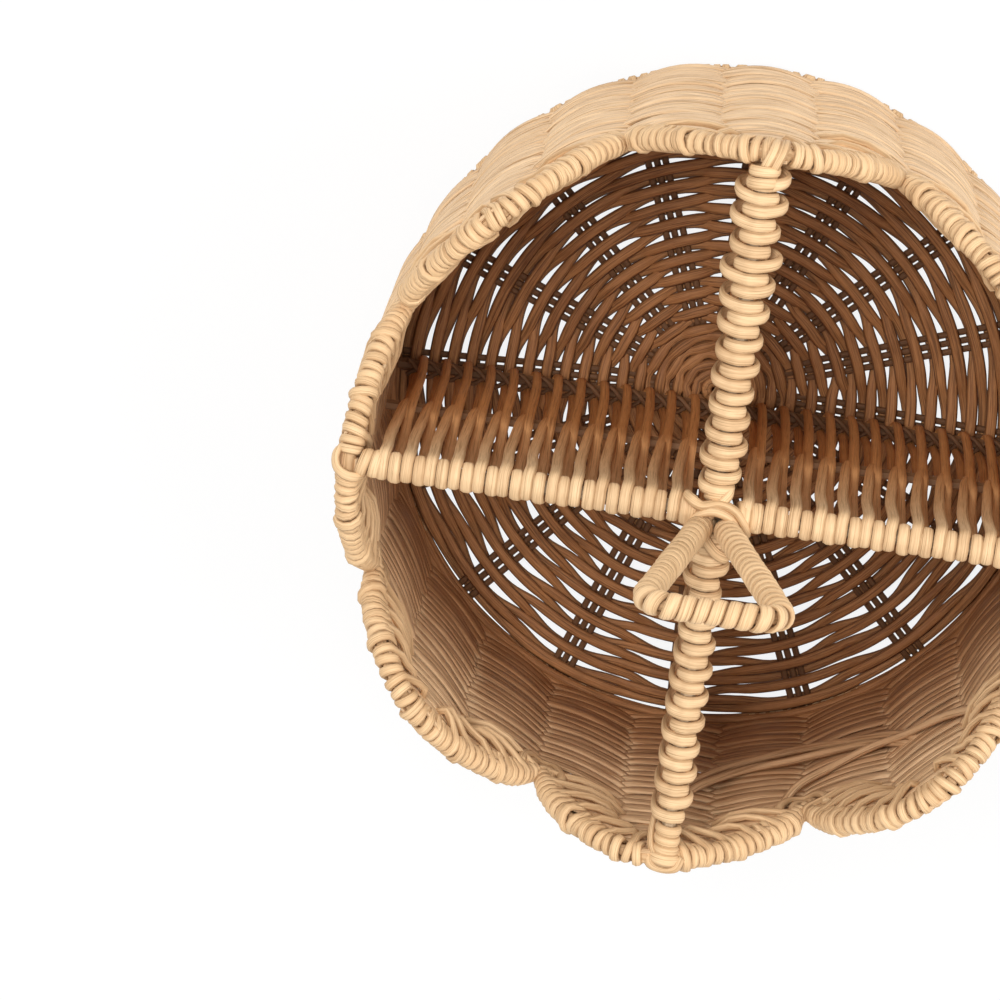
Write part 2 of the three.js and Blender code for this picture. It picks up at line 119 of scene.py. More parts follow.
LOOP_SAG = ((-1, 4.5), (-0.95, 0), (-0.6, -0.8), (0, -1.1), (0.6, -0.8), (0.95, 0), (1, 4.5))
LOOP_WIDE = 2.9

# Border
BORDER_INNER = 95.0
BORDER_OUTER = 100.1
BORDER_HEIGHT = 4.6
BORDER_THICK = 1.3
BORDER_WRAPS = 226
BORDER_SIDES = 12
BORDER_FULLNESS = 0.8

# Base
SPOKES = 16
BASE_MIDDLE = 2.8
BASE_FIRST = 2.2
BASE_LAST = 93.0
BASE_ROWS = 33
BASE_SWING = 1.35
BASE_WIDE = 3.5
BASE_NARROW = 3.1
BASE_THICK = 1.5
BASE_STEP = 1.9
BASE_MOVED = (-3.0, 4.2)
BASE_WOVEN_FROM = 6.0
BASE_WOVEN_RUN = 28.0
BASE_LAID_ON = 1.25
BASE_DRAWN = 2.25
BASE_DRAWN_FULLY = 34.0
BASE_DRAWN_SHARES = (0.3, 0.8, 0.9, 1.0, 1.1)
BASE_OPENING = 10.5
BASE_OPENING_MORE = 1.5
BASE_FRONT_NARROWER = 0.09
BASE_EDGE_RINGS = ((95.9, 4.9), (97.6, 5.8))
STRIP_WIDTH = 2.0
STRIP_THICK = 1.2
STRIP_PITCH = 2.5
STRIP_END = BASE_LAST + 3.2
STRIP_POINTS = 24

# Dividers
BAR_HEIGHT = CROWN_HEIGHT
MID_HEIGHT = 58.0
FOOT_HEIGHT = 8.3
MID_ROD = 1.5
FOOT_ROD = 1.6
BAR_RADIUS = 3.9
BAR_END = 92.0
STRAND_THICK = 1.7
CELL_X = 6.6
X_START = 8.2
X_WIDE = 3.2
X_BELLY = 1.0
CELL_Y = 7.4
Y_WIDE = 3.4
Y_BACK_START = 6.4
Y_BACK_BELLY = 2.2
Y_BULGE = 1.6
Y_BULGE_AT = 68.0
Y_BULGE_RUN = 24.0
Y_FRONT_START = 9.2
Y_FRONT_BELLY = 2.4
Y_FRONT_SLIM = 0.5
TWIST_OUT = 2.3
TWIST_TALL = 0.8
TWIST_HEIGHT = FOOT_HEIGHT + 3.4
TWIST_WIDE = 1.5
TWIST_THICK = 1.1
TWIST_STEP = 0.8
TWIST_FIRST = 6.0

# Handle
HANDLE_Y = -3.7
HANDLE_TOP = 208.0
HANDLE_FOOT = 121.0
HANDLE_FOOT_HALF = 2.3
HANDLE_HALF = 18.9
HANDLE_LEAN = 1.7
HANDLE_CORNER = 7.0
HANDLE_COIL = 2.8
HANDLE_THICK = 1.7
HANDLE_LINING = 3.2
HANDLE_WIRE = 2.8
HANDLE_WIRE_DROP = 2.0
HANDLE_PITCH = 3.9
HANDLE_STRAND = 3.88
HANDLE_STRAND_VARIES = 0.2
HANDLE_WAVERS = 0.14
HANDLE_TILT = 0.18
HANDLE_STEPS = 16

# Finish of the strands: gloss, relief, how a streak fades in, and the pattern's length and step
RATTAN_ROUGHNESS = 0.62
RATTAN_SPECULAR = 0.3
GRAIN = 0.45
GRAIN_DEPTH = 0.4
GROOVE_RELIEF = 0.8
FIBRE_RELIEF = 0.5
STREAK_FADE = 0.09
PATTERN_RUN = 100.0
PATTERN_STEP = 3.71
PALE_TONE = (0.85, 0.6, 0.345)
BROWN_LINE = (0.34, 0.18, 0.075)

# Painted shade of sheltered parts, multiplied into their colour: its tint, the heights where it
# starts and is full, and the radius that it stays inside
WALL_SHADE = ((0.56, 0.39, 0.28), 112.0, 22.0, 99.2)
DIVIDER_SHADE = ((0.96, 0.64, 0.385), 118.0, 57.0, None)
SHADE_EDGE = 1.6
ROD_SHADE_FROM = 115.0
ROD_SHADE_FULL = 60.0

# Floor and light, in metres: each lamp has its name, place, size and power
WHITE = (1, 1, 1, 1)
FLOOR_SIZE = 4.0
FLOOR_COLOUR = (0.85, 0.85, 0.85, 1)
FLOOR_WHITE = 0.87
WORLD_LIGHT = 0.75
LAMPS = (
    ("key", (-0.3, 0.45, 1.4), 0.6, 11),
    ("fill", (0.9, 0.05, 1.1), 0.8, 8.5),
)
LAMPS_AIM = (0, 0, 0.08)

# Camera: its tilt from straight down, its turn and roll, and what it looks at from how far
CAMERA_TILT = 0.268
CAMERA_TURN = 0.069
CAMERA_ROLL = 0.207
CAMERA_TARGET = (-57.972, -5.182, 123.607)
CAMERA_AWAY = 1491.03
CAMERA_LENS = 198.3
CAMERA_SENSOR = 36


def between(points, run, distance):
    """The place at a distance along a line of points, with the run at each of them."""
    return np.stack([np.interp(distance, run, points[:, k]) for k in range(3)], axis=-1)


def run_along(points):
    """How far along a line each of its points is."""
    return np.concatenate([[0], np.cumsum(np.linalg.norm(np.diff(points, axis=0), axis=1))])


def unit(vectors):
    size = np.linalg.norm(vectors, axis=-1, keepdims=True)
    return vectors / np.maximum(size, 1e-9)


def polar(angle, radius, height):
    """Points in the caddy's round plan."""
    angle, radius, height = np.broadcast_arrays(angle, radius, height)
    return np.stack([radius * np.cos(angle), radius * np.sin(angle), height], axis=-1)


def oval(sides, fullness):
    """Corners of a rounded section, as shares of its width and thickness."""
    angle = (np.arange(sides) + 0.5) / sides * TURN
    up = np.sign(np.sin(angle)) * np.abs(np.sin(angle)) ** fullness
    return np.stack([0.5 * np.cos(angle) / np.cos(TURN / 2 / sides), 0.5 * up], axis=-1)


SIX = np.array([(0.5, 0), (0.31, 0.5), (-0.31, 0.5), (-0.5, 0), (-0.31, -0.5), (0.31, -0.5)])
EIGHT = oval(8, 0.95)


def spline(controls, steps):
    """A smooth path through rows that hold a place, the way its face looks, and two sizes."""
    rows = np.asarray(controls, float)
    padded = np.vstack([2 * rows[0] - rows[1], rows, 2 * rows[-1] - rows[-2]])
    pieces = []
    for i in range(len(rows) - 1):
        a, b, c, d = padded[i : i + 4]
        share = (np.arange(steps) / steps)[:, None]
        curve = 2 * b + (c - a) * share + (2 * a - 5 * b + 4 * c - d) * share**2
        pieces.append(0.5 * (curve + (3 * b - a - 3 * c + d) * share**3))
    pieces.append(rows[-1:])
    return np.vstack(pieces)


class Strands:
    """Collects lofted strands, which become one mesh."""

    def __init__(self):
        self.points = []
        self.faces = []
        self.uvs = []
        self.total = 0
        self.count = 0

    def add(self, centre, outward, width, thick, closed=False, section=SIX):
        """Lofts a strand along its centre line, with its face looking outward. Its UV map runs
        along it and round it, and the whole part of the second number is the strand's own."""
        centre = np.asarray(centre, float)
        length = len(centre)
        if closed:
            ahead, behind = np.roll(centre, -1, 0), np.roll(centre, 1, 0)
        else:
            ahead = np.vstack([centre[1:], centre[-1:]])
            behind = np.vstack([centre[:1], centre[:-1]])
        along = unit(ahead - behind)
        across = unit(np.cross(along, outward))
        up = np.cross(across, along)
        wide = np.broadcast_to(width, (length,))[:, None, None] * section[None, :, 0:1]
        deep = np.broadcast_to(thick, (length,))[:, None, None] * section[None, :, 1:2]
        rings = centre[:, None] + across[:, None] * wide + up[:, None] * deep
        sides = len(section)
        edge = np.linalg.norm((np.roll(section, -1, 0) - section) * (2, 1), axis=1)
        round_share = np.concatenate([[0], np.cumsum(edge)]) / edge.sum()
        step = np.linalg.norm(np.diff(centre, axis=0, append=centre[:1]), axis=1)
        run = np.concatenate([[0], np.cumsum(step)]) / PATTERN_RUN
        self.count += 1
        spans = length if closed else length - 1
        i = np.repeat(np.arange(spans), sides)
        j = np.tile(np.arange(sides), spans)
        here, there = i * sides, ((i + 1) % length) * sides
        k = (j + 1) % sides
        quads = np.stack([here + j, there + j, there + k, here + k], axis=1) + self.total
        low, high = self.count + round_share[j], self.count + round_share[j + 1]
        corners = [(run[i], low), (run[i + 1], low), (run[i + 1], high), (run[i], high)]
        self.uvs.extend(np.stack([np.stack(c, axis=1) for c in corners], axis=1).reshape(-1, 2))
        self.faces.extend(quads.tolist())
        if not closed:
            first = list(range(self.total, self.total + sides))
            last = [p + (length - 1) * sides for p in reversed(first)]
            self.faces.extend([first, last])
            self.uvs.extend([(0, self.count)] * sides + [(run[length - 1], self.count)] * sides)
        self.points.extend(rings.reshape(-1, 3))
        self.total += length * sides

    def add_rows(self, rows, closed=False, section=SIX):
        """Adds a strand from rows of place, outward direction, width and thickness."""
        self.add(rows[:, 0:3], rows[:, 3:6], rows[:, 6], rows[:, 7], closed, section)

    def piece(self, name, material, slot, nodes):
        """Makes one mesh of the strands, which stands for the nodes."""
        mesh = bpy.data.meshes.new(name)
        mesh.from_pydata((np.array(self.points) * MM).tolist(), [], self.faces)
        layer = mesh.uv_layers.new(name="strand")
        layer.data.foreach_set("uv", np.array(self.uvs, np.float32).ravel())
        mesh.polygons.foreach_set("use_smooth", [True] * len(mesh.polygons))
        mesh.materials.append(material)
        mesh.update()
        piece = bpy.data.objects.new(name, mesh)
        bpy.context.scene.collection.objects.link(piece)
        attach(piece, "root")
        if nodes:
            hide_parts(*nodes)


class Wander:
    """A seeded smooth wobble between about -1 and 1 along a strand."""

    def __init__(self, rng, waves=(2, 5, 9)):
        self.parts = [(w, rng.uniform(0, TURN), rng.uniform(0.4, 1)) for w in waves]

    def __call__(self, angle):
        return sum(size * np.sin(w * angle + at) for w, at, size in self.parts) / 2


class Value:
    """A socket in a material's node tree, with arithmetic."""

    def __init__(self, tree, socket):
        self.tree = tree
        self.socket = socket

    def math(self, operation, *others):
        inputs = dict(enumerate((self, *others)))
        return add_node(self.tree, "Math", inputs, operation=operation)

    def __add__(self, other):
        return self.math("ADD", other)

    def __sub__(self, other):
        return self.math("SUBTRACT", other)

    def __mul__(self, other):
        return self.math("MULTIPLY", other)

    def __rmul__(self, other):
        return self.math("MULTIPLY", other)

    def __radd__(self, other):
        return self.math("ADD", other)

    def __rsub__(self, other):
        return add_node(self.tree, "Math", {0: other, 1: self}, operation="SUBTRACT")

    def spread(self, low, high):
        """Runs from 0 to 1 between two levels, and stays there beyond them."""
        return add_node(self.tree, "MapRange", {0: self, 1: low, 2: high})

    def part(self, index):
        """One of the three numbers of a place."""
        return add_node(self.tree, "SeparateXYZ", {0: self}, output=index)


def connect(tree, value, slot):
    """Links a value to a node's socket, or sets the socket to a plain number or colour."""
    if isinstance(value, Value):
        tree.links.new(value.socket, slot)
    else:
        slot.default_value = value


def add_node(tree, kind, inputs=None, output=0, **settings):
    """A new node with its settings made and its sockets filled, as the value of one output."""
    node = tree.nodes.new("ShaderNode" + kind)
    for key, value in settings.items():
        setattr(node, key, value)
    for key, value in (inputs or {}).items():
        connect(tree, value, node.inputs[key])
    return Value(tree, node.outputs[output])


class Finish:
    """A procedural material and short ways to add nodes to it."""

    def __init__(self, name, roughness):
        self.material = bpy.data.materials.new(name)
        self.material.use_nodes = True
        self.tree = self.material.node_tree
        self.shader = self.tree.nodes["Principled BSDF"]
        self.shader.inputs["Roughness"].default_value = roughness

    def node(self, kind, inputs=None, output=0, **settings):
        return add_node(self.tree, kind, inputs, output, **settings)

    def blend(self, share, first, second, kind="MIX"):
        """Mixes two colours. The Mix node has them as its sockets 6 and 7, and its output 2."""
        first, second = ((*c, 1) if isinstance(c, tuple) else c for c in (first, second))
        inputs = {0: share, 6: first, 7: second}
        return self.node("Mix", inputs, output=2, data_type="RGBA", blend_type=kind)

    def set(self, name, value):
        connect(self.tree, value, self.shader.inputs[name])


def rattan(name, pale, deep, streak, strength, start, shade=None, painted_edge_shade=0.0):
    """Rattan strand: fine fibre lines and dark streaks along it, a tone of its own, and stains.
    A shade, if given, is painted shade that makes it darker and browner lower down.
    A streak has its colour, its strength and the noise level at which it starts. The last
    argument is painted shade: how much darker the strand's two edges are, where shade falls
    between strands."""
    f = Finish(name, RATTAN_ROUGHNESS)
    uv = f.node("UVMap", uv_map="strand")
    run = uv.part(0)
    lane = uv.part(1)
    strand = lane.math("FLOOR")
    turn = (lane - strand) * TURN
    around_x = turn.math("COSINE")
    around_y = turn.math("SINE")

    def lines(stretch, fineness, detail):
        """Noise drawn out along the strand, in another place for each one."""
        place = {0: run * stretch + strand * PATTERN_STEP}
        place.update({1: around_x * fineness, 2: around_y * fineness})
        vector = f.node("CombineXYZ", place)
        settings = {"Vector": vector, "Scale": 1.0, "Detail": detail, "Roughness": 0.6}
        return f.node("TexNoise", settings)

    fibre = lines(12.0, 4.2, 2.0)
    split_lines = lines(5.0, 3.6, 1.0)
    speckle = lines(45.0, 7.0, 1.0)
    patch = lines(3.0, 0.4, 1.0)
    tone = f.node("TexWhiteNoise", {"W": strand}, noise_dimensions="1D")
    where = f.node("TexCoord", output=3)
    stain = f.node("TexNoise", {"Vector": where, "Scale": 40.0, "Detail": 3.0})
    # Each pattern adds its share of the deeper colour
    share = fibre.spread(0.38, 0.62) * 0.46 + speckle.spread(0.35, 0.65) * 0.16 + tone * 0.26
    share = share + patch.spread(0.35, 0.65) * 0.12 + stain.spread(0.38, 0.64) * 0.22
    colour = f.blend(share, pale, deep)
    groove = split_lines.spread(start, start + STREAK_FADE) * strength
    colour = f.blend(groove, colour, streak)
    if painted_edge_shade:
        # Painted shade: the strand's two edges darken, where shade falls between neighbouring strands
        edge = around_x.math("POWER", 2.0).spread(0.62, 1.0) * painted_edge_shade
        colour = f.blend(edge, colour, streak)
    # Painted shade: the colour turns darker and browner lower down, on the wall only inside its inner
    # face
    if shade:
        tint, high, low, inside = shade
        depth = where.part(2).spread(high * MM, low * MM)
        if inside:
            across = where.part(0).math("POWER", 2.0) + where.part(1).math("POWER", 2.0)
            depth = depth * across.math("SQRT").spread(inside * MM, (inside - SHADE_EDGE) * MM)
        dark = f.blend(1.0, colour, tint, "MULTIPLY")
        colour = f.blend(depth, colour, dark)
    f.set("Base Color", colour)
    height = 1.0 - groove * GROOVE_RELIEF - fibre * FIBRE_RELIEF
    bump = f.node("Bump", {"Height": height, "Strength": GRAIN, "Distance": GRAIN_DEPTH * MM})
    f.set("Normal", bump)
    f.set("Specular IOR Level", RATTAN_SPECULAR)
    return f.material


def plain(name, colour, roughness, metallic=0.0, deep=None):
    """A rod or wire: one colour with a faint stain, and painted shade that may darken it low down."""
    f = Finish(name, roughness)
    where = f.node("TexCoord", output=3)
    stain = f.node("TexNoise", {"Vector": where, "Scale": 120.0, "Detail": 3.0})
    darker = tuple(c * 0.7 for c in colour)
    shown = f.blend(stain.spread(0.35, 0.65), colour, darker)
    # Painted shade: the rod turns to the deep colour lower down
    if deep:
        depth = where.part(2).spread(ROD_SHADE_FROM * MM, ROD_SHADE_FULL * MM)
        shown = f.blend(depth, shown, deep)
    f.set("Base Color", shown)
    f.set("Metallic", metallic)
    return f.material


PALE = rattan("pale_strand", PALE_TONE, (0.62, 0.39, 0.2), BROWN_LINE, 0.55, 0.57, painted_edge_shade=0.5)
WALL = rattan("wall_strand", (0.91, 0.655, 0.4), (0.66, 0.43, 0.235), BROWN_LINE, 0.7, 0.55,
              WALL_SHADE, 0.12)
DIVIDER = rattan("divider_strand", PALE_TONE, (0.6, 0.38, 0.2), BROWN_LINE, 0.55, 0.57,
                 DIVIDER_SHADE, 0.5)
BASE = rattan("base_strand", (0.54, 0.25, 0.095), (0.25, 0.1, 0.034), (0.08, 0.03, 0.011),
              0.6, 0.56, painted_edge_shade=0.35)
SPLINT = rattan("splint", (0.2, 0.09, 0.036), (0.12, 0.052, 0.02), (0.06, 0.026, 0.011),
                0.5, 0.6)
# The cane's deep colour is painted shade low down on the rods
CANE = plain("cane", (0.58, 0.42, 0.26), 0.7, deep=(0.2, 0.095, 0.038))
WIRE = plain("wire", (0.4, 0.38, 0.36), 0.5, 0.8)


def wall_radius(height):
    """The middle of the wall, which flares a little towards the rim."""
    return FOOT_RADIUS + WALL_FLARE * height / CROWN_HEIGHT


def lobe_wave(angle):
    """One at an arch's crown and nothing in a notch."""
    return np.abs(np.cos(angle * LOBES / 2))


def swell(angle):
    """How far a row stands off the wall's middle: 1 at its own stake, -1 at the next."""
    wave = np.cos(angle * STAKES / 2)
    return np.sign(wave) * np.abs(wave) ** SWING_SHARP


def parted(angle, height):
    """How far a row is drawn up or down to leave the parting on the inner face."""
    near = np.exp(-(((angle - PARTING_AT) / PARTING_WIDE) ** 2))
    above = (height - PARTING_HEIGHT) / PARTING_TALL
    return near * PARTING_PULL * np.tanh(2.0 * above) * np.exp(-(above**2))


def add_wall_row(strands, rng, row, angle, height, closed):
    """One row, which passes outside its own stakes and inside the next ones."""
    side = 1 if row % 2 else -1
    swing = swell(angle + rng.uniform(-0.012, 0.012))
    lift, depth, breadth = Wander(rng), Wander(rng), Wander(rng)
    scale = rng.uniform(*ROW_SCALE)
    height = height + ROW_WAVERS_UP * lift(angle)
    inner = np.clip(-side * swing, 0, 1)
    height = height + inner * parted(angle % TURN, height)
    radius = wall_radius(height) + side * WEAVE_SWING * swing + ROW_WAVERS_OUT * depth(angle)
    full = np.clip(np.abs(swing) / 0.5, 0, 1) ** 1.2
    width = ROW_PINCHED + (ROW_TALL * scale - ROW_PINCHED) * full
    width = width * (1 + ROW_WAVERS_WIDE * breadth(angle))
    thick = ROW_THICK + (ROW_THIN - ROW_THICK) * full
    outward = polar(angle, 1.0, 0.0)
    strands.add(polar(angle, radius, height), outward, width, thick, closed)


def row_height(row, angle):
    """Rows are level at the foot and rise more and more towards the crowns above it."""
    rise = ROW_FIRST + row * ROW_PITCH
    share = max(0.0, (rise - BOW_START) / (NOTCH_HEIGHT - BOW_START))
    wave = np.sqrt(lobe_wave(angle) ** 2 + 0.01)
    return rise + TOP_BOW * min(share, 1.0) ** 1.4 * wave


def make_wall():
    rng = random.Random(11)
    strands = Strands()
    around = np.arange(STAKES * WALL_STEPS) / (STAKES * WALL_STEPS) * TURN
    for row in range(FULL_ROWS):
        height = row_height(row, around) + rng.uniform(-ROW_JITTER, ROW_JITTER)
        add_wall_row(strands, rng, row, around, height, True)
    # Shorter rows fill the arches, as long as they stay under the rim
    top = FULL_ROWS - 1
    for lobe in range(LOBES):
        points = rim_line(lobe)[0][::4]
        angle = np.unwrap(np.arctan2(points[:, 1], points[:, 0]))
        for extra in range(1, MOST_ARCH_ROWS + 1):
            height = row_height(top, angle) + extra * ROW_PITCH
            under = np.flatnonzero(height < points[:, 2] - 0.4)
            if len(under) < 6:
                break
            count = max(6, len(under) // 3)
            chosen = np.linspace(under[0], under[-1], count).astype(int)
            add_wall_row(strands, rng, top + extra, angle[chosen], height[chosen], False)
    for route in SLACK_ROUTES:
        add_slack(strands, route)
    strands.piece("wall_rows", WALL, "wall_strand", ["wall_weave"])


def add_slack(strands, route):
    """A strand that has slipped out of its row and sags across the inner face."""
    places = []
    for index, (degrees, height) in enumerate(route):
        hidden = index in (0, len(route) - 1)
        angle = math.radians(degrees)
        offset = SLACK_TUCKED if hidden else SLACK_PROUD
        place = polar(angle, wall_radius(height) - offset, height)
        places.append([*place, *polar(angle, -1, -0.5), SLACK_WIDE, SLACK_THICK])
    strands.add_rows(spline(places, 5), section=EIGHT)


def rim_line(lobe):
    """Places along one arch's wire from notch to notch, and how far along it each of them is."""
    share = np.linspace(-1, 1, 401)
    leant = share + ARCH_LEAN[lobe] * (1 - share**2)
    height = NOTCH_HEIGHT + (CROWN_HEIGHT - NOTCH_HEIGHT) * np.cos(leant * math.pi / 2)
    near = np.exp(-(((1 - np.abs(share)) / NOTCH_REACH) ** 2))
    angle = (lobe + share / 2) / LOBES * TURN
    points = polar(angle, RIM_RADIUS - NOTCH_PULL * near, height - NOTCH_DIP * near)
    return points, run_along(points)


def surface_offset(angle):
    """How far the weave stands off the wall's middle on either face."""
    return FACE_OFFSET + WEAVE_SWING * np.abs(swell(angle))


def rim_tail(rng, side, centre, along, share, ring, width, long):
    """The strand's way from the rope down one face of the wall and on as a row, end first."""
    angle = math.atan2(centre[1], centre[0])
    toward = -1 if share > 0 else 1
    slope = math.asin(max(-0.95, min(0.95, along[2] * toward)))
    reach = TAIL_REACH * rng.uniform(0.6, 1.3)
    if long:
        reach = (LONG_TAIL_REACH + LONG_TAIL_MORE * abs(share)) * rng.uniform(0.8, 1.2)
    drop = rng.uniform(4.6, 6.6) if long else rng.uniform(1.8, 2.4)
    rise = 0.22 * abs(share)
    first = np.array([drop * math.sin(slope), -drop * math.cos(slope)])
    last = first * 1.25 + np.array([reach, rise * reach])
    before = last - 0.55 * reach * np.array([1, rise])
    thick = LONG_TAIL_THICK if long else TAIL_THICK
    proud = LONG_TAIL_PROUD if side < 0 and long else TAIL_PROUD
    tail = []
    for t in (1.0, 0.8, 0.55, 0.3):
        rest = 1 - t
        place = 3 * rest**2 * t * first + 3 * rest * t**2 * before + t**3 * last
        at = angle + toward * place[0] / RIM_RADIUS
        height = centre[2] + place[1]
        blend = min(1.0, t * 1.7) ** 0.8
        offset = ring * (1 - blend) + (surface_offset(at) + proud) * blend
        offset *= 0.35 if t == 1.0 else 1.0
        face = side * np.array([math.cos(at), math.sin(at), 0.0])
        tuck = np.array([0.0, 0.0, -0.35 * t])
        grow = 0.5 if t == 1.0 else 1.0
        point = polar(at, wall_radius(height) + side * offset, height)
        tail.append([*point, *(face + tuck), width * grow, thick])
    return tail


def rim_wrap(rng, line, at, index):
    """One strand hooked over the wire, with a tail down each face of the wall."""
    points, run = line
    behind, centre, ahead = (between(points, run, at + step) for step in (-0.5, 0, 0.5))
    along = unit(ahead - behind)
    outward = unit(centre * (1, 1, 0))
    up = np.cross(outward, along)
    share = 2 * at / run[-1] - 1
    edge = min(1.0, (1 - abs(share)) / NEAR_NOTCH)
    loose = index % 7 == 3 and edge == 1.0
    ring = WRAP_RING + WRAP_RING_MORE * edge + rng.uniform(-0.12, 0.12) + (LOOSE_RING if loose else 0)
    width = rng.uniform(2.45, 2.8) - 0.25 * (1 - edge)
    lean = rng.uniform(-0.6, 0.6) + (LOOSE_LEAN if loose else 0)
    tilt = rng.uniform(0.1, 0.45) * (-1 if share > 0 else 1)
    long = index % 3 == 0 and abs(share) > 0.12
    tails = []
    for side in (1, -1):
        shown = long and (side < 0 or index % 2 == 0)
        tails.append(rim_tail(rng, side, centre, along, share, ring, width, shown))
    over = []
    for degrees in (0, 36, 72, 108, 144, 180):
        turn = math.radians(degrees)
        face = outward * math.cos(turn) + up * math.sin(turn)
        point = centre + face * ring + along * lean * math.cos(turn)
        over.append([*point, *(face + along * tilt), width, WRAP_THICK])
    return np.array(tails[0] + over + tails[1][::-1])


def add_notch_loops(strands, rng, lobe):
    """Strands that hang from one arch's rope to the next one's, inside under the notch."""
    middle = (lobe + 0.5) / LOBES * TURN
    low = NOTCH_HEIGHT - NOTCH_DIP
    for half, depth in NOTCH_LOOPS:
        half *= rng.uniform(0.85, 1.15)
        rows = []
        for share, rise in LOOP_SAG:
            at = middle + share * half / RIM_RADIUS
            height = low + (rise if rise > 0 else rise * depth)
            radius = wall_radius(height) - surface_offset(at) - (0.3 if rise > 0 else 0.9)
            rows.append([*polar(at, radius, height), *(-polar(at, 1, 0)), LOOP_WIDE, WRAP_THICK])
        strands.add_rows(spline(rows, 3), section=EIGHT)


def make_rim():
    rng = random.Random(5)
    for lobe in range(LOBES):
        strands = Strands()
        line = rim_line(lobe)
        total = line[1][-1]
        bare = BARE_CROWN[lobe // 2] if lobe % 2 == 0 else (0, 0)
        at = NOTCH_BARE
        index = rng.randrange(7)
        while at < total - NOTCH_BARE:
            if not bare[0] < at - total / 2 < bare[1]:
                strands.add_rows(rim_wrap(rng, line, at, index), section=EIGHT)
            edge = min(at, total - at) / total
            crowding = NOTCH_CROWDING if edge < CROWDED_SHARE else 1.0
            at += WRAP_PITCH * rng.uniform(0.82, 1.28) * crowding
            index += 1
        add_notch_loops(strands, rng, lobe)
        lining = line[0][2:-2:8]
        strands.add(lining, unit(lining * (1, 1, 0)), RIM_LINING, RIM_LINING, False, EIGHT)
        strands.piece(f"rim_strands_{lobe + 1}", PALE, "pale_strand", [f"rim_wrap_{lobe + 1}"])
    core = Strands()
    places = np.vstack([rim_line(lobe)[0][:-1:10] for lobe in range(LOBES)])
    outward = unit(places * (1, 1, 0))
    core.add(places, outward, 2 * WIRE_RADIUS, 2 * WIRE_RADIUS, True, EIGHT)
    core.piece("rim_wire_bent", WIRE, "wire", ["rim_wire"])


def make_border():
    """The ring at the foot: strand wound round a core all the way."""
    rng = random.Random(23)
    strands = Strands()
    half_wide = (BORDER_OUTER - BORDER_INNER - BORDER_THICK) / 2
    half_tall = (BORDER_HEIGHT - BORDER_THICK) / 2
    middle = (BORDER_OUTER + BORDER_INNER) / 2
    around = (np.arange(BORDER_SIDES) + 0.5) / BORDER_SIDES * TURN
    cosine, sine = np.cos(around), np.sin(around)
    wide = half_wide * np.sign(cosine) * np.abs(cosine) ** BORDER_FULLNESS
    tall = half_tall * np.sign(sine) * np.abs(sine) ** BORDER_FULLNESS
    for i in range(BORDER_WRAPS):
        angle = (i + rng.uniform(-0.15, 0.15)) / BORDER_WRAPS * TURN
        lean = rng.uniform(-0.012, 0.012)
        place = angle + lean * cosine
        grow = rng.uniform(-0.1, 0.15)
        radius = middle + wide + grow * cosine
        height = BORDER_HEIGHT / 2 + 0.06 + tall
        face = polar(place, cosine, sine)
        width = rng.uniform(2.5, 2.9)
        strands.add(polar(place, radius, height), face, width, BORDER_THICK, True)
    circle = np.arange(96) / 96 * TURN
    inner = polar(circle, middle, BORDER_HEIGHT / 2)
    strands.add(inner, polar(circle, 1, 0), 2.2 * half_tall, 2 * half_wide, True, EIGHT)
    strands.piece("border_strands", PALE, "pale_strand", ["base_border"])


def base_shift(radius):
    """The rings of the base are set off from its middle towards their centre."""
    share = 1 - np.asarray(radius) / BASE_LAST
    return BASE_MOVED[0] * share, BASE_MOVED[1] * share


def base_row(strands, rng, side, nominal, most):
    """One ring of the base. Under a spoke it may be drawn aside, which leaves short openings.
    The innermost rings lie on top of the spokes, all the way round."""
    spacing = nominal * TURN / SPOKES
    steps = SPOKES * max(6, min(20, round(spacing / BASE_STEP)))
    around = np.arange(steps) / steps * TURN
    wave = side * np.cos(around * SPOKES / 2)
    shift = np.zeros(steps)
    for spoke in range(SPOKES):
        angle = spoke / SPOKES * TURN
        nearer = 0.97 - 0.3 * math.sin(angle)
        amount = most * nearer * rng.choice(BASE_DRAWN_SHARES)
        length = min(BASE_OPENING + BASE_OPENING_MORE * nearer, 0.45 * spacing)
        length *= rng.uniform(0.85, 1.08)
        slip = rng.uniform(-0.2, 0.2) * length
        if side * (-1) ** spoke < 0:
            gap = (around - angle + math.pi) % TURN - math.pi
            shift += amount * np.exp(-np.abs((gap * nominal - slip) / length) ** 3)
    over = np.clip(2.5 * wave, 0, 1)
    wobble = Wander(rng, (1, 2, 3))
    radius = nominal + shift + min(0.22, 0.05 * nominal) * wobble(around)
    toward = 0.5 - 0.5 * np.sin(around)
    width = BASE_NARROW + (BASE_WIDE - BASE_NARROW) * over
    width = width * (1 - BASE_FRONT_NARROWER * toward)
    woven = min(1.0, max(0.0, (nominal - BASE_WOVEN_FROM) / BASE_WOVEN_RUN))
    height = BASE_MIDDLE + woven * BASE_SWING * np.sign(wave) * np.abs(wave) ** 0.6
    height += (1 - woven) * BASE_LAID_ON
    centre = polar(around, radius, height)
    shift_x, shift_y = base_shift(radius)
    centre[:, 0] += shift_x
    centre[:, 1] += shift_y
    up = np.tile([0.0, 0.0, 1.0], (steps, 1))
    strands.add(centre, up, width, BASE_THICK, True)


